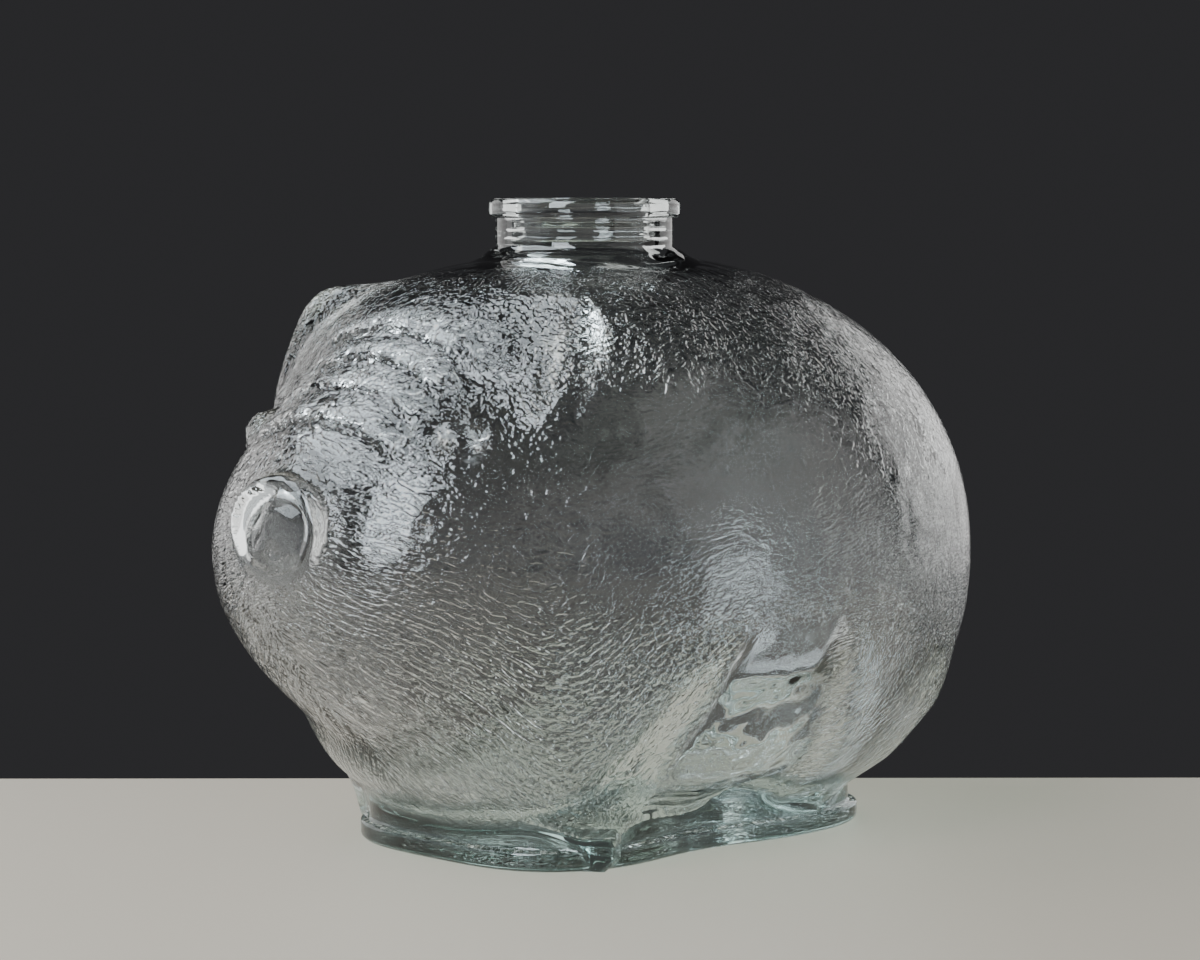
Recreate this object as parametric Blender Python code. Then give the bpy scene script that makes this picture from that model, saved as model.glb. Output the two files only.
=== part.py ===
# Pig-shaped coin bank jar: one moulded piece of clear glass, open at the neck.
# Metres, +Z up. The neck's axis is the Z axis, the pig looks along -Y and stands on z = 0.
import bpy
import bmesh
import math
import numpy as np
from mathutils import Vector

for old in list(bpy.data.objects):
    bpy.data.objects.remove(old, do_unlink=True)

# driving dimensions
JAR_HEIGHT = 0.210
BODY_CENTRE = (0.0, 0.0140, 0.091)
BODY_HALF_WIDTH, BODY_HALF_LENGTH = 0.111, 0.132
BODY_UP, BODY_DOWN = 0.101, 0.095       # half heights above and below the body's centre
BODY_FULLNESS = (2.12, 2.18)            # above and below; 2 is an ellipsoid, more is fuller
WALL = 0.0038
FLOOR_THICKNESS = 0.0090                # glass under the cavity

CROWN_FILLET, LEG_FILLET = 0.016, 0.016 # where the crown and the legs run into the body
HEAD_FILLETS = (0.021, 0.030)           # outside and inside
SHOULDER_FILLETS = (0.011, 0.009)       # outside and inside, at the foot of the neck
FLOOR_FILLET = 0.012

NECK_RADIUS = 0.0292
NECK_ROOT_Z = 0.150                     # how far down into the body the neck is carried for its fillet
NECK_FOOT_Z = 0.1935                    # where the shoulder fillet has run out
BEAD_RADIUS, BEAD_HEIGHT = 0.0315, 0.0060
BEAD_FILLETS, NECK_TOP_GAP = (0.0018, 0.0022), 0.0008  # under and over the bead; undercut below it
BORE_RADIUS = 0.0225
LIP_FILLET = 0.0012

CROWN_CENTRE, CROWN_HALF = (0.0, -0.036, 0.150), (0.078, 0.054, 0.0365)
HEAD_CENTRE, HEAD_HALF = (0.0, -0.060, 0.104), (0.062, 0.064, 0.054)
MUZZLE_CENTRE, MUZZLE_HALF = (0.0, -0.088, 0.097), (0.0605, 0.0455, 0.0455)
CHEST_TUCK = 0.0048                     # how much slimmer the chest is than a round body
CHEST_TOP, CHEST_FOOT, CHEST_BACK = (0.100, 0.065), (0.022, 0.047), (-0.010, -0.055)  # where it fades in
RUMP_TUCK = 0.0060                      # the same at the foot of the rump
RUMP_TOP, RUMP_FRONT = (0.027, 0.015), (-0.010, 0.020)
SNOUT_Y, SNOUT_Z = -0.1365, 0.111       # face of the snout
SNOUT_HALF = (0.0200, 0.0155)           # half width and half height of the face
SNOUT_DISH = 0.0020                     # how far the face is sunk inside its rim
SNOUT_RIM = (0.88, 0.72)                # share of the face at which the dish starts, and is full depth
SNOUT_FILLET, SNOUT_ROOT_FILLET = 0.0032, 0.005
SNOUT_ROOT_Y = -0.080                   # how far back into the head the snout runs
SNOUT_HOLLOW_CENTRE, SNOUT_HOLLOW_HALF = (0.0, -0.116, 0.111), (0.0135, 0.0145, 0.0100)
SNOUT_HOLLOW_FILLET = 0.008

EAR_CENTRE = (0.042, -0.0655, 0.1555)
EAR_HALF_WIDTH, EAR_HALF_LENGTH = 0.0255, 0.0262
EAR_HALF_THICKNESS, EAR_FILLET, EAR_ROOT_FILLET = 0.0056, 0.0050, 0.009
EAR_SQUARENESS, EAR_TAPER = 3.2, 0.11
EAR_TURN = (-22, -8, -7)                # degrees about X, Y and Z
EYE_CENTRE, EYE_HALF = (0.0440, -0.0980, 0.1345), (0.0085, 0.0085, 0.0072)
EYE_ROOT_FILLET = 0.003

LEG_FRONT = ((0.049, -0.040, 0.008), (0.058, -0.036, 0.066), 0.0125, 0.012)  # foot, top, their radii
LEG_REAR = ((0.050, 0.046, 0.010), (0.070, 0.056, 0.056), 0.010, 0.025)

FLANK_DEPTH = 0.0075                    # smooth hollow between the legs on each side
FLANK_STEPS, FLANK_TOP_STEPS = (0.008, 0.024), (0.022, 0.034)  # width of its edges, outside and inside
FLANK_FOOT, FLANK_FOOT_SLOPE = 0.030, 0.16  # below this height it deepens towards the foot
FLANK_FROM_X = 0.03
FLANK_TOP = 0.084
FLANK_FRONT, FLANK_REAR = (-0.0440, 0.16), (0.0290, -0.33)  # each edge's Y at the ground, and its slope

SLAB_CENTRE_Y = 0.008
SLAB_HALF = (0.0625, 0.0800)            # half width and half length of the standing slab
SLAB_HEIGHT = 0.0065
SLAB_SQUARENESS = (3.25, 4.2)            # front and rear; 2 is an ellipse, more has squarer corners
SLAB_SPREAD = 0.70                      # how fast the slab widens towards the rump
SLAB_WAIST = 0.0070
SLAB_WAIST_Y, SLAB_WAIST_SPREAD = -0.012, 0.030
SLAB_TOP_FILLET, HEEL_FILLET = 0.0012, 0.0022
BAND_INSET, BAND_TOP = 0.0030, 0.0165   # plain band above the slab
BAND_EDGE_FILLET, BAND_FILLET = 0.002, 0.005

AROUND, INSIDE = 72, 36                 # columns round the outside, twice those inside
NOSE_FOCUS = 0.55                       # how much closer together they are at the nose
SHOULDER_RING_Z = 0.1905
CAVITY_CENTRE_Y, UPPER_FAN_Z, LOWER_FAN_Z = 0.020, 0.128, 0.055


def blend(a, b, fillet):
    # the union of two shapes, with a fillet where they meet
    h = np.clip(0.5 + 0.5 * (b - a) / fillet, 0.0, 1.0)
    return b + (a - b) * h - fillet * h * (1.0 - h)


def soft_step(value):
    value = np.clip(value, 0.0, 1.0)
    return value * value * (3.0 - 2.0 * value)


def ramp(value, start, end):
    # 0 up to start and 1 from end on, whichever of the two is larger
    return soft_step((value - start) / (end - start))


def turned(degrees):
    (cx, sx), (cy, sy), (cz, sz) = [(math.cos(a), math.sin(a)) for a in np.radians(degrees)]
    rx = np.array([[1, 0, 0], [0, cx, -sx], [0, sx, cx]])
    ry = np.array([[cy, 0, sy], [0, 1, 0], [-sy, 0, cy]])
    rz = np.array([[cz, -sz, 0], [sz, cz, 0], [0, 0, 1]])
    return rz @ ry @ rx


def ellipsoid(p, centre, half):
    q, half = p - np.array(centre), np.array(half)
    k = np.linalg.norm(q / half, axis=-1)
    return k * (k - 1.0) / (np.linalg.norm(q / half ** 2, axis=-1) + 1e-9)


def taper_bar(p, foot, top, foot_radius, top_radius):
    a, b = np.array(foot), np.array(top)
    t = np.clip((p - a) @ (b - a) / np.dot(b - a, b - a), 0.0, 1.0)
    radius = foot_radius + t * (top_radius - foot_radius)
    return np.linalg.norm(p - a - t[..., None] * (b - a), axis=-1) - radius


def barrel(p):
    # round body, elliptical in plan and a little fuller than an ellipsoid in height
    x, y, z = np.moveaxis(p - np.array(BODY_CENTRE), -1, 0)
    a, b, n = BODY_HALF_WIDTH, BODY_HALF_LENGTH, np.where(z > 0, *BODY_FULLNESS)
    c = np.where(z > 0, BODY_UP, BODY_DOWN)
    plan = np.hypot(x / a, y / b) + 1e-9
    tall = np.abs(z / c) + 1e-9
    k = (plan ** n + tall ** n) ** (1.0 / n)
    side = (plan / k) ** (n - 1) * np.hypot(x / a ** 2, y / b ** 2) / plan
    return (k - 1.0) / np.hypot(side, (tall / k) ** (n - 1) / c)


def slab_outline(p):
    # distance in plan to the edge of the standing slab, wider at the rump and waisted at the flanks
    x, y = p[..., 0], p[..., 1] - SLAB_CENTRE_Y
    n = np.where(y < 0, *SLAB_SQUARENESS)
    waist = SLAB_WAIST * np.exp(-((y - SLAB_WAIST_Y) / SLAB_WAIST_SPREAD) ** 2)
    half_x = SLAB_HALF[0] * (1.0 + SLAB_SPREAD * y) - waist
    kx, ky = np.abs(x / half_x) + 1e-9, np.abs(y / SLAB_HALF[1]) + 1e-9
    k = (kx ** n + ky ** n) ** (1.0 / n)
    return (k - 1.0) / np.hypot((kx / k) ** (n - 1) / half_x, (ky / k) ** (n - 1) / SLAB_HALF[1])


def capped(side, cap, fillet):
    # a side wall and an end face that meet in a rounded edge
    side, cap = side + fillet, cap + fillet
    return np.minimum(np.maximum(side, cap), 0.0) + np.hypot(np.maximum(side, 0), np.maximum(cap, 0)) - fillet


def head_and_body(p, fillet):
    y, z = p[..., 1], p[..., 2]
    chest = ramp(z, *CHEST_TOP) * ramp(z, *CHEST_FOOT) * ramp(y, *CHEST_BACK)
    rump = ramp(z, *RUMP_TOP) * ramp(y, *RUMP_FRONT)
    d = barrel(p) + CHEST_TUCK * chest + RUMP_TUCK * rump
    d = blend(d, ellipsoid(p, CROWN_CENTRE, CROWN_HALF), CROWN_FILLET)
    d = blend(d, ellipsoid(p, HEAD_CENTRE, HEAD_HALF), fillet)
    return blend(d, ellipsoid(p, MUZZLE_CENTRE, MUZZLE_HALF), fillet)


def flank_hollow(p, edge, top_edge):
    low, high = [foot + slope * p[..., 2] for foot, slope in (FLANK_FRONT, FLANK_REAR)]
    middle, half = (low + high) / 2, (high - low) / 2
    side = soft_step((half + (edge - FLANK_STEPS[0]) / 2 - np.abs(p[..., 1] - middle)) / edge + 0.5)
    top = ramp(p[..., 2], FLANK_TOP, FLANK_TOP - top_edge)
    deeper = FLANK_FOOT_SLOPE * np.maximum(FLANK_FOOT - p[..., 2], 0)
    return side * top * (FLANK_DEPTH + deeper) * (np.abs(p[..., 0]) > FLANK_FROM_X)


def ear(p):
    # a thick flap with rounded corners
    q = (p - np.array(EAR_CENTRE)) @ turned(EAR_TURN)
    half_width = EAR_HALF_WIDTH * (1.0 + EAR_TAPER * np.clip(q[..., 2] / EAR_HALF_LENGTH, -1, 1))
    across, along = np.abs(q[..., 0] / half_width) + 1e-9, np.abs(q[..., 2] / EAR_HALF_LENGTH) + 1e-9
    k = (across ** EAR_SQUARENESS + along ** EAR_SQUARENESS) ** (1.0 / EAR_SQUARENESS)
    return capped((k - 1.0) * EAR_HALF_LENGTH, np.abs(q[..., 1]) - EAR_HALF_THICKNESS, EAR_FILLET)


def outside(p):
    # outer surface below the neck, negative on the jar's side; left and right match
    p = np.stack([np.abs(p[..., 0]), p[..., 1], p[..., 2]], axis=-1)
    x, y, z = p[..., 0], p[..., 1], p[..., 2]
    d = head_and_body(p, HEAD_FILLETS[0])
    d = blend(d, taper_bar(p, *LEG_FRONT), LEG_FILLET)
    d = blend(d, taper_bar(p, *LEG_REAR), LEG_FILLET)
    d = d + flank_hollow(p, FLANK_STEPS[0], FLANK_TOP_STEPS[0])
    d = blend(d, ear(p), EAR_ROOT_FILLET)
    d = blend(d, ellipsoid(p, EYE_CENTRE, EYE_HALF), EYE_ROOT_FILLET)
    k = np.hypot(x / SNOUT_HALF[0], (z - SNOUT_Z) / SNOUT_HALF[1])
    face = SNOUT_Y + SNOUT_DISH * ramp(k, *SNOUT_RIM)
    snout = capped((k - 1.0) * SNOUT_HALF[1], face - y, SNOUT_FILLET)
    d = blend(d, np.maximum(snout, y - SNOUT_ROOT_Y), SNOUT_ROOT_FILLET)
    plan = slab_outline(p)
    d = blend(d, capped(plan + BAND_INSET, z - BAND_TOP, BAND_EDGE_FILLET), BAND_FILLET)
    heel = np.maximum(HEEL_FILLET - z, 0.0)
    slab = plan + HEEL_FILLET - np.sqrt(np.maximum(HEEL_FILLET ** 2 - heel ** 2, 0.0))
    d = blend(d, capped(slab, z - SLAB_HEIGHT, SLAB_TOP_FILLET), SLAB_TOP_FILLET)
    neck = np.maximum(np.hypot(x, y) - NECK_RADIUS, NECK_ROOT_Z - z)
    return blend(d, neck, SHOULDER_FILLETS[0])


def cavity(p):
    # inner surface below the bore: the body less its wall, with ears, eyes and feet of solid glass
    d = head_and_body(p, HEAD_FILLETS[1]) + flank_hollow(p, FLANK_STEPS[1], FLANK_TOP_STEPS[1]) + WALL
    d = blend(d, ellipsoid(p, SNOUT_HOLLOW_CENTRE, SNOUT_HOLLOW_HALF), SNOUT_HOLLOW_FILLET)
    d = -blend(-d, p[..., 2] - FLOOR_THICKNESS, FLOOR_FILLET)
    bore = np.maximum(np.hypot(p[..., 0], p[..., 1]) - BORE_RADIUS, NECK_ROOT_Z - p[..., 2])
    return blend(d, bore, SHOULDER_FILLETS[1])


def angles(count):
    # column angles, closer together at the nose
    t = np.arange(count) / count * 2 * math.pi
    return t - math.pi / 2 - NOSE_FOCUS * np.sin(t)


def ring(shape, count, centre_y, z, lift=0.0):
    # closed ring of points on a shape, looked for outwards from a point on the middle plane
    angle, lift = angles(count), math.radians(lift)
    way = np.stack([np.cos(angle) * math.cos(lift), np.sin(angle) * math.cos(lift),
                    np.full(count, math.sin(lift))], axis=-1)
    start = np.array([0.0, centre_y, z])
    low, high = np.full(count, 0.004), np.full(count, 0.190)
    for _ in range(32):
        middle = (low + high) / 2
        within = shape(start + way * middle[:, None]) < 0
        low, high = np.where(within, middle, low), np.where(within, high, middle)
    return start + way * low[:, None]


def circle(count, radius, z):
    angle = angles(count)
    return np.stack([radius * np.cos(angle), radius * np.sin(angle), np.full(count, z)], axis=-1)


def fillet_points(r, z, fillet, start, end, steps):
    turn = [math.radians(start + (end - start) * i / steps) for i in range(steps + 1)]
    return [(r + fillet * math.cos(a), z + fillet * math.sin(a)) for a in turn]


# outside, from the standing edge up to the neck: level rings, then rings that fan upwards
heights = [0, 0.0005, 0.0022, 0.0050, 0.0064, 0.0078, 0.0115, 0.0155, 0.0195, 0.0250, 0.0320, 0.0400,
           0.0490, 0.0580, 0.0670, 0.0750, 0.0820, 0.0880, 0.0930, 0.0975, 0.1020, 0.1075, 0.1130,
           0.1180, 0.1225, 0.1275]
lifts = [5, 10, 15, 20, 25, 30, 35, 39.5, 43.5, 47, 50, 53, 56]
rings = [ring(outside, AROUND, SLAB_CENTRE_Y, z) for z in heights]
for i, lift in enumerate(lifts):
    centre_y = SLAB_CENTRE_Y * (1 - (i + 1) / len(lifts))
    rings.append(ring(outside, AROUND, centre_y, heights[-1], lift))
rings.append(ring(outside, AROUND, 0.0, SHOULDER_RING_Z))

# neck, bead and bore, turned about the neck's axis
bead_low = JAR_HEIGHT - BEAD_HEIGHT
bead_under, bead_over = BEAD_FILLETS
profile = [(NECK_RADIUS, NECK_FOOT_Z), (NECK_RADIUS, bead_low - NECK_TOP_GAP)]
under_z = bead_low + bead_under - NECK_TOP_GAP
profile += fillet_points(BEAD_RADIUS - bead_under, under_z, bead_under, -70, 0, 3)
profile += fillet_points(BEAD_RADIUS - bead_over, JAR_HEIGHT - bead_over, bead_over, 0, 90, 4)
profile += fillet_points(BORE_RADIUS + LIP_FILLET, JAR_HEIGHT - LIP_FILLET, LIP_FILLET, 90, 180, 3)
profile += [(BORE_RADIUS, 0.200), (BORE_RADIUS, 0.194)]
rings += [circle(AROUND, r, z) for r, z in profile]

# cavity, from the bore down to the middle of its floor: a fan, level rings and a fan downwards
upper_lifts, lower_lifts = (59, 54, 46, 36, 24, 10), (-10, -20, -28, -35, -42, -52, -68)
inner_heights = (0.120, 0.108, 0.096, 0.083, 0.070, 0.058)
inner_rings = [circle(INSIDE, BORE_RADIUS, SHOULDER_RING_Z)]
for i, lift in enumerate(upper_lifts):
    centre_y = CAVITY_CENTRE_Y * i / (len(upper_lifts) - 1)
    inner_rings.append(ring(cavity, INSIDE, centre_y, UPPER_FAN_Z, lift))
inner_rings += [ring(cavity, INSIDE, CAVITY_CENTRE_Y, z) for z in inner_heights]
inner_rings += [ring(cavity, INSIDE, CAVITY_CENTRE_Y, LOWER_FAN_Z, lift) for lift in lower_lifts]

mesh = bmesh.new()
loops = [[mesh.verts.new(point) for point in points] for points in rings]
inner_loops = [[mesh.verts.new(point) for point in points] for points in inner_rings]


def bridge(lower, upper):
    for j in range(len(lower)):
        k = (j + 1) % len(lower)
        mesh.faces.new((lower[j], lower[k], upper[k], upper[j]))


for lower, upper in zip(loops, loops[1:]):
    bridge(lower, upper)
for lower, upper in zip(inner_loops, inner_loops[1:]):
    bridge(lower, upper)
last, first = loops[-1], inner_loops[0]
for j in range(len(first)):
    # every inner column meets two outer ones
    a, b, c = last[2 * j], last[2 * j + 1], last[(2 * j + 2) % AROUND]
    d, e = first[j], first[(j + 1) % len(first)]
    mesh.faces.new((a, b, d))
    mesh.faces.new((b, e, d))
    mesh.faces.new((b, c, e))
for loop in (loops[0], inner_loops[-1]):
    # the underside and the middle of the cavity's floor are flat
    centre = mesh.verts.new(sum((v.co for v in loop), Vector()) / len(loop))
    for j in range(len(loop)):
        mesh.faces.new((loop[j], centre, loop[(j + 1) % len(loop)]))
bmesh.ops.recalc_face_normals(mesh, faces=mesh.faces)
bmesh.ops.triangulate(mesh, faces=mesh.faces)

data = bpy.data.meshes.new("glass_jar")
mesh.to_mesh(data)
mesh.free()
for polygon in data.polygons:
    polygon.use_smooth = True
jar = bpy.data.objects.new("glass_jar", data)
bpy.context.scene.collection.objects.link(jar)

glass = bpy.data.materials.new("clear_glass")
glass.use_nodes = True
shader = glass.node_tree.nodes["Principled BSDF"]
shader.inputs["Base Color"].default_value = (0.86, 0.93, 0.91, 1.0)
shader.inputs["Roughness"].default_value = 0.04
shader.inputs["Metallic"].default_value = 0.0
shader.inputs["IOR"].default_value = 1.5
shader.inputs["Transmission Weight"].default_value = 1.0
data.materials.append(glass)
print("glass_jar", len(data.vertices), "vertices", len(data.polygons), "triangles")
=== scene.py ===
# Clear glass pig bank: the jar is re-made finely over its CAD node, with its pressed grain and clear glass.
import math
import bpy
import bmesh
import numpy as np
from mathutils import Matrix, Vector


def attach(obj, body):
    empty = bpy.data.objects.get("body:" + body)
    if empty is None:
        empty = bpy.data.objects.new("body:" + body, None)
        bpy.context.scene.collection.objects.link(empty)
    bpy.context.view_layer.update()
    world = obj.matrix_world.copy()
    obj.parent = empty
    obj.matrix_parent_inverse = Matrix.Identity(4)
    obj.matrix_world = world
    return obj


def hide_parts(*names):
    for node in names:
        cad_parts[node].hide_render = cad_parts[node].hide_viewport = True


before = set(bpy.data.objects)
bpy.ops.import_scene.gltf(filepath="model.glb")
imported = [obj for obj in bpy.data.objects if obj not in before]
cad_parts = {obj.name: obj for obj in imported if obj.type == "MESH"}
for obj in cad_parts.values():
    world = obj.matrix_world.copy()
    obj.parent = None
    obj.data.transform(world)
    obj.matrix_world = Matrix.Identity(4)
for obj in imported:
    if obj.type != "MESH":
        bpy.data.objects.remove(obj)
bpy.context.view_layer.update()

jar = {
    "height": 0.210,
    "bodyCentre": (0.0, 0.0140, 0.091),
    "bodyHalf": (0.111, 0.132),
    "bodyUp": 0.101, "bodyDown": 0.095,
    "fullness": (2.12, 2.18),
    "wall": 0.0038,
    "floor": 0.0090,
    "neckRadius": 0.0292, "neckFoot": 0.1925,
    "beadRadius": 0.0315, "beadHeight": 0.0060,
    "boreRadius": 0.0225, "boreRipple": 0.0004, "boreRipplePitch": 0.0065, "lipFillet": 0.0012,
    "crown": ((0.0, -0.036, 0.150), (0.078, 0.054, 0.0365)),
    "head": ((0.0, -0.060, 0.104), (0.062, 0.064, 0.054)),
    "muzzle": ((0.0, -0.088, 0.097), (0.0605, 0.0455, 0.0455)),
    "chestTuck": 0.0048, "rumpTuck": 0.0060, "chestCrease": 0.0004,
    "snoutFace": -0.1365, "snoutHeight": 0.111,
    "snoutHalf": (0.0200, 0.0155), "snoutDish": 0.0018, "snoutFillet": 0.0019,
    "snoutHollow": ((0.0, -0.116, 0.111), (0.0135, 0.0145, 0.0100)),
    "nostril": ((0.0125, 0.1030), 0.0022, 0.0012),
    "earCentre": (0.042, -0.0655, 0.1555), "earHalf": (0.0255, 0.0262), "earTaper": 0.11,
    "earThickness": 0.0056, "earFillet": 0.0050, "earSquareness": 3.2, "earTurn": (-22, -8, -7),
    "earDish": 0.0026, "earDishHalf": (0.0150, 0.0120), "earRearCut": 0.0022,
    "frontLeg": ((0.049, -0.040, 0.008), (0.058, -0.036, 0.066), 0.0125, 0.012),
    "rearLeg": ((0.050, 0.046, 0.010), (0.070, 0.056, 0.056), 0.010, 0.025),
    "eyeCentre": (0.0440, -0.0980, 0.1345), "eyeHalf": (0.0085, 0.0085, 0.0072), "eyeTurn": (-30, -8, 0),
    "lidHeight": 0.0052, "lidProud": 0.0011, "lidHalf": 0.0008,
    "flankDepth": 0.0075, "flankTop": 0.084,
    "flankFront": (-0.0440, 0.16), "flankRear": (0.0290, -0.33),
    "slabCentreY": 0.008, "slabHalf": (0.0625, 0.0800), "slabHeight": 0.0065,
    "slabSquareness": (3.25, 4.2), "slabSpread": 0.70, "slabWaist": 0.0070,
    "heelFillet": 0.0022, "bandInset": 0.0030, "bandTop": 0.0165,
    "wrinkleFoot": 0.1415, "wrinklePitch": 0.0088, "wrinkleCount": 4, "wrinkleHeight": 0.0024,
    "columns": 288,
}


def joined(a, b, fillet):
    # union of two shapes with a fillet where they meet
    h = np.clip(0.5 + 0.5 * (b - a) / fillet, 0.0, 1.0)
    return b + (a - b) * h - fillet * h * (1.0 - h)


def softStep(value):
    value = np.clip(value, 0.0, 1.0)
    return value * value * (3.0 - 2.0 * value)


def turned(degrees):
    (cx, sx), (cy, sy), (cz, sz) = [(math.cos(math.radians(a)), math.sin(math.radians(a))) for a in degrees]
    rx = np.array([[1, 0, 0], [0, cx, -sx], [0, sx, cx]])
    ry = np.array([[cy, 0, sy], [0, 1, 0], [-sy, 0, cy]])
    rz = np.array([[cz, -sz, 0], [sz, cz, 0], [0, 0, 1]])
    return rz @ ry @ rx


def ellipsoid(p, centre, half, turn=None):
    q = p - np.array(centre)
    if turn is not None:
        q = q @ turned(turn)
    half = np.array(half)
    k = np.linalg.norm(q / half, axis=-1)
    return k * (k - 1.0) / (np.linalg.norm(q / half ** 2, axis=-1) + 1e-9)


def taperBar(p, foot, top, footRadius, topRadius):
    a, b = np.array(foot), np.array(top)
    t = np.clip((p - a) @ (b - a) / np.dot(b - a, b - a), 0.0, 1.0)
    return np.linalg.norm(p - a - t[..., None] * (b - a), axis=-1) - footRadius - t * (topRadius - footRadius)


def barrel(p):
    x, y, z = np.moveaxis(p - np.array(jar["bodyCentre"]), -1, 0)
    a, b = jar["bodyHalf"]
    n = np.where(z > 0, *jar["fullness"])
    c = np.where(z > 0, jar["bodyUp"], jar["bodyDown"])
    plan = np.hypot(x / a, y / b) + 1e-9
    tall = np.abs(z / c) + 1e-9
    k = (plan ** n + tall ** n) ** (1.0 / n)
    side = (plan / k) ** (n - 1) * np.hypot(x / a ** 2, y / b ** 2) / plan
    return (k - 1.0) / np.hypot(side, (tall / k) ** (n - 1) / c)


def slabOutline(p):
    x, y = p[..., 0], p[..., 1] - jar["slabCentreY"]
    n = np.where(y < 0, *jar["slabSquareness"])
    halfX = jar["slabHalf"][0] * (1.0 + jar["slabSpread"] * y) - jar["slabWaist"] * np.exp(-((y + 0.012) / 0.030) ** 2)
    kx, ky = np.abs(x / halfX) + 1e-9, np.abs(y / jar["slabHalf"][1]) + 1e-9
    k = (kx ** n + ky ** n) ** (1.0 / n)
    return (k - 1.0) / np.hypot((kx / k) ** (n - 1) / halfX, (ky / k) ** (n - 1) / jar["slabHalf"][1])


def capped(side, cap, fillet):
    side, cap = side + fillet, cap + fillet
    return np.minimum(np.maximum(side, cap), 0.0) + np.hypot(np.maximum(side, 0), np.maximum(cap, 0)) - fillet


def headAndBody(p, fillet):
    y, z = p[..., 1], p[..., 2]
    chest = softStep((0.100 - z) / 0.035) * softStep((z - 0.022) / 0.025) * softStep((-0.010 - y) / 0.045)
    rump = softStep((0.027 - z) / 0.012) * softStep((y + 0.010) / 0.030)
    d = barrel(p) + jar["chestTuck"] * chest + jar["rumpTuck"] * rump
    d = joined(d, ellipsoid(p, *jar["crown"]), 0.016)
    d = joined(d, ellipsoid(p, *jar["head"]), fillet)
    return joined(d, ellipsoid(p, *jar["muzzle"]), fillet)


def flankMask(p, edge, topEdge):
    low, high = [foot + slope * p[..., 2] for foot, slope in (jar["flankFront"], jar["flankRear"])]
    middle, half = (low + high) / 2, (high - low) / 2
    side = softStep((half + (edge - 0.008) / 2 - np.abs(p[..., 1] - middle)) / edge + 0.5)
    top = softStep((jar["flankTop"] - p[..., 2]) / topEdge)
    return side * top * (np.abs(p[..., 0]) > 0.03)


def flankHollow(p, edge, topEdge):
    return flankMask(p, edge, topEdge) * (jar["flankDepth"] + 0.16 * np.maximum(0.030 - p[..., 2], 0))


def snoutOval(p):
    return np.hypot(p[..., 0] / jar["snoutHalf"][0], (p[..., 2] - jar["snoutHeight"]) / jar["snoutHalf"][1])


def ear(p):
    # a thick round-cornered flap
    q = (p - np.array(jar["earCentre"])) @ turned(jar["earTurn"])
    n, (wide, tall) = jar["earSquareness"], jar["earHalf"]
    wide = wide * (1.0 + jar["earTaper"] * np.clip(q[..., 2] / tall, -1, 1))
    k = ((np.abs(q[..., 0] / wide) + 1e-9) ** n + (np.abs(q[..., 2] / tall) + 1e-9) ** n) ** (1.0 / n)
    dishWide, dishTall = jar["earDishHalf"]
    dish = jar["earDish"] * np.exp(-(q[..., 0] / dishWide) ** 2 - ((q[..., 2] + 0.004) / dishTall) ** 2) * (q[..., 1] < 0)
    rear = jar["earRearCut"] * (q[..., 1] > 0)
    return capped((k - 1.0) * tall, np.abs(q[..., 1]) + dish + rear - jar["earThickness"], jar["earFillet"])


def eye(p):
    # an eyeball with the rim of a lid across its top
    ball = ellipsoid(p, jar["eyeCentre"], jar["eyeHalf"], jar["eyeTurn"])
    lift = ((p - np.array(jar["eyeCentre"])) @ turned(jar["eyeTurn"]))[..., 2] - jar["lidHeight"]
    return joined(ball, capped(ball - jar["lidProud"], np.abs(lift) - jar["lidHalf"], 0.0006), 0.0010)


def wrinkles(p):
    # arched folds over the brow, with narrow grooves between them
    x, y, z = np.moveaxis(p, -1, 0)
    level = (z + 9.0 * x * x - jar["wrinkleFoot"]) / jar["wrinklePitch"]
    fade = softStep((0.040 - x) / 0.016) * softStep((-0.045 - y) / 0.010)
    within = (level > 0) & (level < jar["wrinkleCount"])
    return jar["wrinkleHeight"] * fade * within * np.abs(np.sin(math.pi * level)) ** 0.75


def outside(p):
    # outer surface below the neck; left and right match
    p = np.stack([np.abs(p[..., 0]), p[..., 1], p[..., 2]], axis=-1)
    x, y, z = p[..., 0], p[..., 1], p[..., 2]
    d = headAndBody(p, 0.021)
    d = joined(d, taperBar(p, *jar["frontLeg"]), 0.016)
    d = joined(d, taperBar(p, *jar["rearLeg"]), 0.016)
    d = d + flankHollow(p, 0.008, 0.022)
    d = joined(d, ear(p), 0.009) - wrinkles(p)
    d = joined(d, eye(p), 0.003)
    d = d + jar["chestCrease"] * np.exp(-(x / 0.0050) ** 2) * softStep((-0.040 - y) / 0.02) * softStep((0.082 - z) / 0.03)
    k = snoutOval(p)
    (nostrilX, nostrilZ), nostrilSize, nostrilDepth = jar["nostril"]
    nostril = nostrilDepth * np.exp(-((x - nostrilX) ** 2 + (z - nostrilZ) ** 2) / nostrilSize ** 2)
    face = jar["snoutFace"] + jar["snoutDish"] * softStep((0.88 - k) / 0.16) + nostril
    snout = capped((k - 1.0) * jar["snoutHalf"][1], face - y, jar["snoutFillet"])
    d = joined(d, np.maximum(snout, y + 0.080), 0.005)
    plan = slabOutline(p)
    d = joined(d, capped(plan + jar["bandInset"], z - jar["bandTop"], 0.002), 0.005)
    heel = np.maximum(jar["heelFillet"] - z, 0.0)
    slab = plan + jar["heelFillet"] - np.sqrt(np.maximum(jar["heelFillet"] ** 2 - heel ** 2, 0.0))
    d = joined(d, capped(slab, z - jar["slabHeight"], 0.0012), 0.0012)
    neck = np.maximum(np.hypot(x, y) - jar["neckRadius"], 0.150 - z)
    return joined(d, neck, 0.011)


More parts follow.
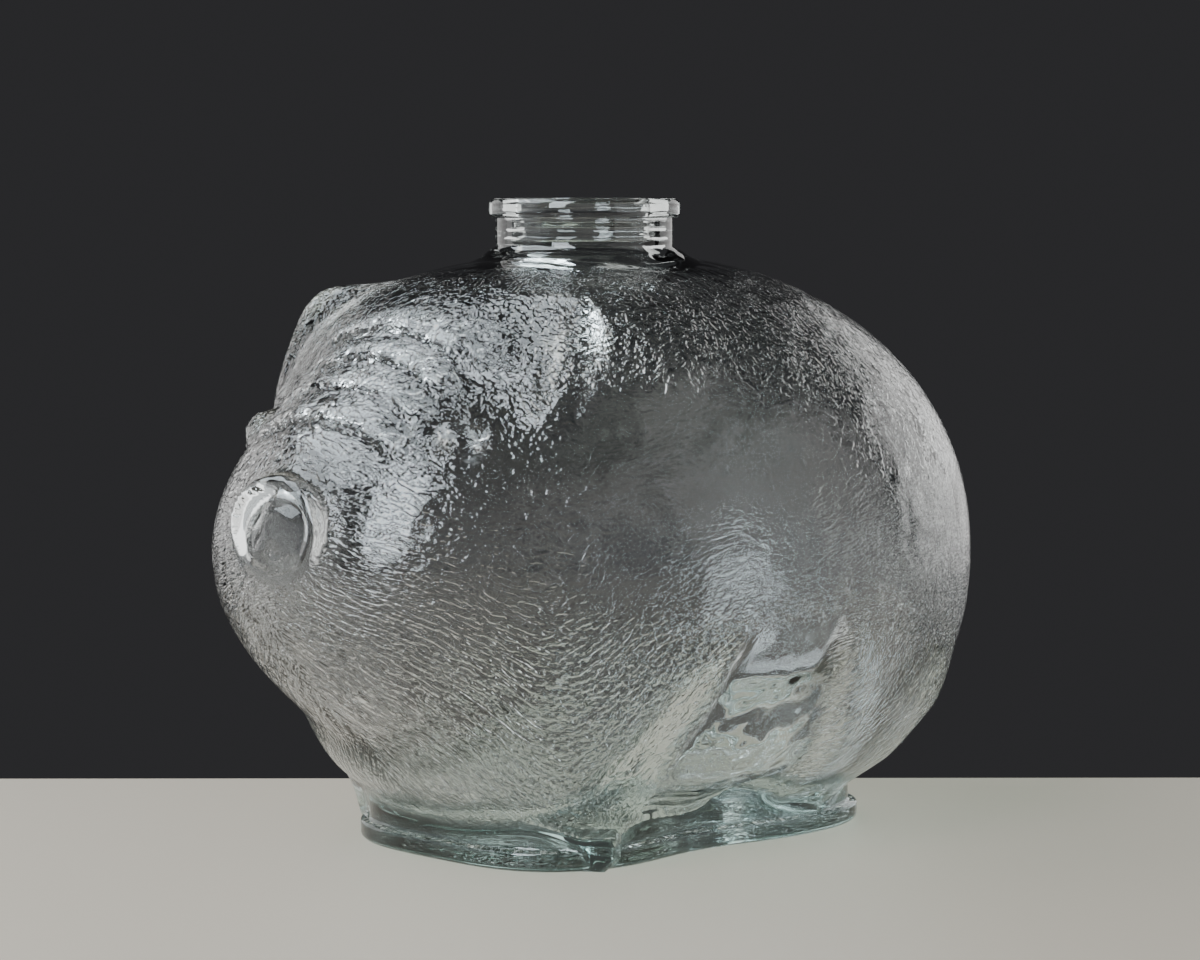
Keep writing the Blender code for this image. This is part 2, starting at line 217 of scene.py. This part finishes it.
def cavity(p):
    # inner surface below the bore, with ears, eyes and feet of solid glass
    d = headAndBody(p, 0.030) + flankHollow(p, 0.024, 0.034) + jar["wall"]
    d = joined(d, ellipsoid(p, *jar["snoutHollow"]), 0.008)
    d = -joined(-d, p[..., 2] - jar["floor"], 0.012)
    bore = np.maximum(np.hypot(p[..., 0], p[..., 1]) - jar["boreRadius"], 0.150 - p[..., 2])
    return joined(d, bore, 0.009)


def angles(count):
    t = np.arange(count) / count * 2 * math.pi
    return t - math.pi / 2 - 0.55 * np.sin(t)


def ring(shape, centreY, z, lift=0.0):
    angle, lift = angles(jar["columns"]), math.radians(lift)
    way = np.stack([np.cos(angle) * math.cos(lift), np.sin(angle) * math.cos(lift),
                    np.full(len(angle), math.sin(lift))], axis=-1)
    start = np.array([0.0, centreY, z])
    low, high = np.full(len(angle), 0.001), np.full(len(angle), 0.190)
    for _ in range(30):
        middle = (low + high) / 2
        within = shape(start + way * middle[:, None]) < 0
        low, high = np.where(within, middle, low), np.where(within, high, middle)
    return start + way * low[:, None]


def circle(radius, z):
    angle = angles(jar["columns"])
    return np.stack([radius * np.cos(angle), radius * np.sin(angle), np.full(len(angle), z)], axis=-1)


def filletPoints(r, z, fillet, start, end, steps):
    turn = [math.radians(start + (end - start) * i / steps) for i in range(steps + 1)]
    return [(r + fillet * math.cos(a), z + fillet * math.sin(a)) for a in turn]


def relax(grid, pinned, shape, rounds):
    # evens out the points of a grid of rings over the shape
    for _ in range(rounds):
        around = (np.roll(grid, 1, axis=1) + np.roll(grid, -1, axis=1)) / 2
        along = grid.copy()
        along[1:-1] = (grid[:-2] + grid[2:]) / 2
        moved = grid + (0.5 * around + 0.5 * along - grid) * 0.7
        moved = settle(moved, shape)
        grid = np.where(pinned[:, None, None], grid, moved)
    return grid


def settle(p, shape, rounds=1):
    step = 2e-5
    for _ in range(rounds):
        d = shape(p)
        slope = np.stack([shape(p + step * axis) - d for axis in np.eye(3)], axis=-1) / step
        p = p - slope * (d / np.maximum((slope ** 2).sum(-1), 0.2))[..., None]
    return p


def buildJar():
    height, slabY = jar["height"], jar["slabCentreY"]
    # outside, from the standing edge up
    lowLevels = [0.0, 0.00012, 0.00045, 0.0010, 0.0017, 0.0024, 0.0035, 0.0048, 0.0056, 0.0060, 0.0063, 0.0066, 0.0070,
                 0.0076, 0.0085, 0.0100, 0.0118, 0.0136, 0.0150, 0.0160, 0.0170]
    levels = list(np.linspace(0.0185, 0.1280, 70))
    lifts = list(np.linspace(1.2, 57.0, 62))
    rings = [ring(outside, slabY, z) for z in lowLevels + levels]
    for i, lift in enumerate(lifts):
        rings.append(ring(outside, slabY * (1 - (i + 1) / len(lifts)), levels[-1], lift))
    rings += [ring(outside, 0.0, z) for z in (0.1900, 0.1907, 0.1915, 0.1925)]
    grid = np.array(rings)
    pinned = np.zeros(len(grid), bool)
    pinned[:len(lowLevels)] = True
    pinned[-4:] = True
    grid = relax(grid, pinned, outside, 14)
    grid = np.where(pinned[:, None, None], grid, settle(grid, outside, 3))
    outerCount = len(grid)

    # neck, bead and bore, turned about the neck's axis
    beadLow = height - jar["beadHeight"]
    bead, lip = jar["beadRadius"], jar["lipFillet"]
    profile = [(jar["neckRadius"], z) for z in (0.1940, 0.1960, 0.1985, 0.2010, 0.2026)]
    profile += filletPoints(jar["neckRadius"] + 0.0008, beadLow - 0.0006, -0.0008, 0, -70, 4)
    profile += filletPoints(bead - 0.0018, beadLow + 0.0012, 0.0018, -70, 0, 7)
    profile += filletPoints(bead - 0.0024, height - 0.0024, 0.0024, 4, 90, 8)
    profile += [(0.0275, height), (0.0255, height)]
    profile += filletPoints(jar["boreRadius"] + lip, height - lip, lip, 90, 180, 6)
    profile += [(jar["boreRadius"] + jar["boreRipple"] * math.sin(2 * math.pi * z / jar["boreRipplePitch"]), z)
                for z in np.linspace(0.2070, 0.1930, 25)]
    rings = list(grid) + [circle(r, z) for r, z in profile]

    # cavity, from the bore down to its floor
    inner = [ring(cavity, 0.0, z) for z in (0.1912, 0.1895)]
    for i, lift in enumerate(np.linspace(64, 2, 40)):
        inner.append(ring(cavity, 0.020 * softStep(i / 39.0), 0.128, lift))
    inner += [ring(cavity, 0.020, z) for z in np.linspace(0.126, 0.057, 28)]
    inner += [ring(cavity, 0.020, 0.055, lift) for lift in -np.linspace(1.5, 86, 44)]
    rings += inner
    return rings, outerCount


print("jar: shaping")
rings, outerCount = buildJar()
columns = jar["columns"]
bpy.ops.object.select_all(action="DESELECT")
bpy.ops.mesh.primitive_uv_sphere_add(segments=columns, ring_count=len(rings) + 1, radius=1.0)
pig = bpy.context.object
pig.name = "glassPig"
data = pig.data
coords = np.empty(len(data.vertices) * 3)
data.vertices.foreach_get("co", coords)
coords = coords.reshape(-1, 3)
ringOf = np.rint((math.pi - np.arccos(np.clip(coords[:, 2], -1, 1))) / math.pi * (len(rings) + 1)).astype(int)
columnOf = np.rint((np.arctan2(coords[:, 1], coords[:, 0]) + math.pi / 2) / (2 * math.pi) * columns).astype(int) % columns
target = np.array(rings)
placed = target[np.clip(ringOf - 1, 0, len(rings) - 1), columnOf]
placed[ringOf == 0] = (0.0, jar["slabCentreY"], 0.0)
placed[ringOf == len(rings) + 1] = (0.0, 0.020, cavity(np.array([0.0, 0.020, 0.0])[None])[0] * 0 + rings[-1][:, 2].mean())

# where the pressed grain lies, and the way its strokes run
outer = (ringOf >= 1) & (ringOf <= outerCount)
z = placed[:, 2]
mirrored = np.stack([np.abs(placed[:, 0]), placed[:, 1], z], axis=-1)
grain = outer * softStep((z - 0.0150) / 0.003) * softStep((0.1885 - z) / 0.005)
grain = grain * (1 - flankMask(mirrored, 0.006, 0.008))
onSnout = softStep((1.16 - snoutOval(mirrored)) / 0.12) * (placed[:, 1] < -0.115)
grain = grain * (1 - onSnout)
around = np.arctan2(mirrored[:, 0], -(mirrored[:, 1] - 0.008))
legAt = 0.64
chevron = np.sqrt((around - legAt) ** 2 + 0.01) * 0.105
steep = 0.95 * softStep((0.125 - z) / 0.06) + 0.25
across = z * 1.0 - chevron * steep
along = around * 0.105 + z * 0.6
side, depth = mirrored[:, 0], mirrored[:, 1]
calmTrunk = softStep((z - 0.070) / 0.030) * softStep((0.165 - z) / 0.025) * softStep((depth + 0.090) / 0.025)
calmCheek = np.exp(-((side - 0.029) / 0.010) ** 2 - ((z - 0.106) / 0.014) ** 2) * (depth < -0.080)
earEdge = softStep((side - 0.058) / 0.004) * softStep((z - 0.150) / 0.006) * (depth < -0.045)
calmBack = softStep((z - 0.150) / 0.020) * softStep((depth + 0.030) / 0.030)
grain = grain * (1 - 0.70 * calmTrunk) * (1 - 0.5 * calmCheek) * (1 - 0.40 * calmBack) * (1 + 1.5 * earEdge)
innerChest = (ringOf > outerCount + 24) * softStep((0.095 - z) / 0.02) * softStep((-0.040 - depth) / 0.02)
grain = grain + 0.4 * innerChest
underside = ringOf <= 1
grain[underside] = 1.0
across[underside], along[underside] = placed[underside, 0], placed[underside, 1]
fur = data.attributes.new("fur", "FLOAT_VECTOR", "POINT")
fur.data.foreach_set("vector", np.stack([across, along, placed[:, 0] * 0.0], axis=-1).astype(np.float32).ravel())
inner = data.attributes.new("inner", "FLOAT", "POINT")
inner.data.foreach_set("value", (ringOf > outerCount + 24).astype(np.float32))
mask = data.attributes.new("grain", "FLOAT", "POINT")
mask.data.foreach_set("value", grain.astype(np.float32))
data.vertices.foreach_set("co", placed.astype(np.float32).ravel())
data.update()
bpy.ops.object.shade_smooth()
print("jar:", len(data.vertices), "points", sum(len(f.vertices) - 2 for f in data.polygons), "triangles")


class Value:
    # a number socket that can be added, multiplied and so on
    def __init__(self, tree, socket):
        self.tree, self.socket = tree, socket

    def maths(self, operation, *others):
        # works the operation on the items given
        node = self.tree.nodes.new("ShaderNodeMath")
        node.operation = operation
        for slot, item in zip(node.inputs, others):
            if isinstance(item, Value):
                self.tree.links.new(item.socket, slot)
            else:
                slot.default_value = item
        return Value(self.tree, node.outputs[0])

    def __add__(self, other):
        return self.maths("ADD", self, other)

    __radd__ = __add__

    def __sub__(self, other):
        return self.maths("SUBTRACT", self, other)

    def __rsub__(self, other):
        return self.maths("SUBTRACT", other, self)

    def __mul__(self, other):
        return self.maths("MULTIPLY", self, other)

    __rmul__ = __mul__


class Finish:
    # one material and the nodes that make it
    def __init__(self, name):
        self.material = bpy.data.materials.new(name)
        self.material.use_nodes = True
        self.tree = self.material.node_tree
        self.shader = self.tree.nodes["Principled BSDF"]
        self.output = self.tree.nodes["Material Output"]

    def node(self, kind, settings=None, **sockets):
        made = self.tree.nodes.new(kind)
        for key, value in (settings or {}).items():
            setattr(made, key, value)
        for key, value in sockets.items():
            self.feed(made, key.replace("_", " "), value)
        return made

    def feed(self, node, key, value):
        if isinstance(value, Value):
            value = value.socket
        if isinstance(value, bpy.types.NodeSocket):
            self.tree.links.new(value, node.inputs[key])
        else:
            node.inputs[key].default_value = value

    def value(self, socket):
        return Value(self.tree, socket)


glassLook = {
    "tint": (0.985, 0.995, 0.99, 1.0),
    "shade": (0.93, 0.95, 0.94, 1.0),
    "bend": 1.5,
    "depthColour": (0.50, 0.78, 0.73, 1.0),
    "depth": 7.0,
    "strokeWidth": 0.0011, "strokeLength": 0.0022,
    "strokeHeight": 0.00034,
    "pebbleScale": 700.0, "pebbleShare": 0.30,
    "swellScale": 75.0, "swellHeight": 0.0009,
}


def makeGlass():
    finish = Finish("clearGlass")
    shader = finish.shader
    shader.inputs["Base Color"].default_value = glassLook["tint"]
    shader.inputs["Roughness"].default_value = 0.0
    shader.inputs["IOR"].default_value = glassLook["bend"]
    shader.inputs["Transmission Weight"].default_value = 1.0
    coordinate = finish.node("ShaderNodeAttribute", {"attribute_name": "fur"}).outputs["Vector"]
    stretch = finish.node("ShaderNodeMapping", None, Vector=coordinate,
                          Scale=(1 / glassLook["strokeWidth"] / 2, 1 / glassLook["strokeLength"] / 2, 1.0))
    wander = finish.node("ShaderNodeTexNoise", {"noise_dimensions": "3D"}, Scale=90.0, Detail=1.0,
                         Vector=finish.node("ShaderNodeTexCoord").outputs["Object"])
    shifted = finish.node("ShaderNodeVectorMath", {"operation": "MULTIPLY_ADD"})
    finish.tree.links.new(wander.outputs["Color"], shifted.inputs[0])
    shifted.inputs[1].default_value = (2.2, 1.0, 6.0)
    finish.tree.links.new(stretch.outputs[0], shifted.inputs[2])
    strokes = finish.node("ShaderNodeTexNoise", {"noise_dimensions": "3D"}, Scale=1.0, Detail=1.5, Roughness=0.5,
                          Vector=shifted.outputs[0])
    grainMask = finish.value(finish.node("ShaderNodeAttribute", {"attribute_name": "grain"}).outputs["Fac"])
    place = finish.node("ShaderNodeTexCoord").outputs["Object"]
    pebble = finish.node("ShaderNodeTexNoise", None, Scale=glassLook["pebbleScale"], Detail=0.0, Vector=place)
    pebble = finish.value(pebble.outputs["Fac"]) - 0.5
    ridged = finish.node("ShaderNodeMapRange", {"interpolation_type": "SMOOTHSTEP"},
                         Value=finish.value(strokes.outputs["Fac"]) + pebble * glassLook["pebbleShare"])
    ridged.inputs["From Min"].default_value = 0.36
    ridged.inputs["From Max"].default_value = 0.64
    swell = finish.node("ShaderNodeTexNoise", None, Scale=glassLook["swellScale"], Detail=1.0, Vector=place)
    innerMask = finish.value(finish.node("ShaderNodeAttribute", {"attribute_name": "inner"}).outputs["Fac"])
    relief = finish.value(ridged.outputs[0]) * grainMask * glassLook["strokeHeight"]
    relief = relief + finish.value(swell.outputs["Fac"]) * innerMask * glassLook["swellHeight"]
    bump = finish.node("ShaderNodeBump", None, Strength=1.0, Distance=1.0, Height=relief)
    finish.tree.links.new(bump.outputs[0], shader.inputs["Normal"])
    path = finish.node("ShaderNodeLightPath")
    lampRay = finish.value(path.outputs["Is Shadow Ray"]).maths("MAXIMUM", finish.value(path.outputs["Is Shadow Ray"]),
                                                                finish.value(path.outputs["Is Diffuse Ray"]))
    clear = finish.node("ShaderNodeBsdfTransparent", None, Color=glassLook["shade"])
    mixed = finish.node("ShaderNodeMixShader", None, Fac=lampRay)
    finish.tree.links.new(shader.outputs[0], mixed.inputs[1])
    finish.tree.links.new(clear.outputs[0], mixed.inputs[2])
    finish.tree.links.new(mixed.outputs[0], finish.output.inputs["Surface"])
    volume = finish.node("ShaderNodeVolumeAbsorption", None, Color=glassLook["depthColour"], Density=glassLook["depth"])
    finish.tree.links.new(volume.outputs[0], finish.output.inputs["Volume"])
    return finish.material


data.materials.append(makeGlass())
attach(pig, "root")
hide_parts("glass_jar")

studio = {
    "azimuth": 44.0, "distance": 1.060, "eye": 0.2095, "lens": 96.2,
    "aside": -0.28, "pitch": -5.0,
    "floorBehind": 0.094,
}
azimuth = math.radians(studio["azimuth"])
right = Vector((math.cos(azimuth), math.sin(azimuth), 0))
toward = Vector((math.sin(azimuth), -math.cos(azimuth), 0))
up = Vector((0, 0, 1))


def place(r, t, u):
    return right * r + toward * t + up * u


def addFloor():
    bpy.ops.object.select_all(action="DESELECT")
    bpy.ops.mesh.primitive_cube_add(size=1.0)
    floor = bpy.context.object
    floor.name = "floor"
    depth = 1.9 + studio["floorBehind"]
    size = Matrix.Diagonal((2.6, depth, 0.03, 1.0))
    turn = Matrix.Rotation(azimuth, 4, "Z")
    middle = place(0, depth / 2 - studio["floorBehind"], -0.0155)
    floor.data.transform(Matrix.Translation(middle) @ turn @ size)
    finish = Finish("paleBoard")
    finish.shader.inputs["Base Color"].default_value = (0.385, 0.330, 0.266, 1.0)
    finish.shader.inputs["Roughness"].default_value = 0.55
    floor.data.materials.append(finish.material)
    return floor


def addSoftbox(name, position, target, size, radiance, colour):
    light = bpy.data.lights.new(name, "AREA")
    light.shape = "RECTANGLE"
    light.size, light.size_y = size
    light.energy = radiance * math.pi * size[0] * size[1]
    light.color = colour
    lamp = bpy.data.objects.new(name, light)
    bpy.context.scene.collection.objects.link(lamp)
    lamp.location = position
    lamp.rotation_euler = (target - position).to_track_quat("-Z", "Y").to_euler()
    lamp.visible_camera = False
    return lamp


addFloor()
jarMiddle = Vector((0, 0, 0.11))
addSoftbox("windowAbove", place(-0.75, -0.10, 1.15), jarMiddle, (1.2, 0.8), 7.2, (0.84, 0.93, 1.0))
addSoftbox("windowFront", place(-0.66, 1.05, 0.92), jarMiddle, (0.56, 1.40), 16.0, (0.84, 0.93, 1.0))
addSoftbox("wallLeft", place(-1.50, 0.05, 0.45), jarMiddle, (1.8, 0.9), 0.75, (0.95, 0.98, 1.0))
addSoftbox("wallRight", place(1.65, 0.55, 0.70), jarMiddle, (2.4, 1.8), 0.65, (1.0, 0.99, 0.97))
addSoftbox("wallBackRight", place(1.45, -1.60, 0.45), jarMiddle, (1.9, 1.3), 1.35, (1.0, 0.99, 0.98))
addSoftbox("wallBackLeft", place(-1.60, -1.40, 0.50), jarMiddle, (1.9, 1.3), 1.35, (1.0, 0.99, 0.98))
addSoftbox("wallFront", place(0.3, 2.3, 0.9), jarMiddle, (2.4, 1.6), 0.28, (1.0, 0.99, 0.97))

world = bpy.data.worlds.new("darkRoom")
world.use_nodes = True
world.node_tree.nodes["Background"].inputs[0].default_value = (0.0275, 0.0275, 0.0295, 1.0)
world.node_tree.nodes["Background"].inputs[1].default_value = 1.0
bpy.context.scene.world = world

cameraData = bpy.data.cameras.new("camera")
cameraData.lens = studio["lens"]
cameraData.sensor_width = 36.0
camera = bpy.data.objects.new("camera", cameraData)
bpy.context.scene.collection.objects.link(camera)
camera.location = place(0, studio["distance"], studio["eye"])
look = Matrix.Rotation(azimuth, 4, "Z") @ Matrix.Rotation(math.radians(studio["aside"]), 4, "Z") @ \
    Matrix.Rotation(math.radians(90 + studio["pitch"]), 4, "X")
camera.rotation_euler = look.to_euler()
bpy.context.scene.camera = camera
print("studio ready")
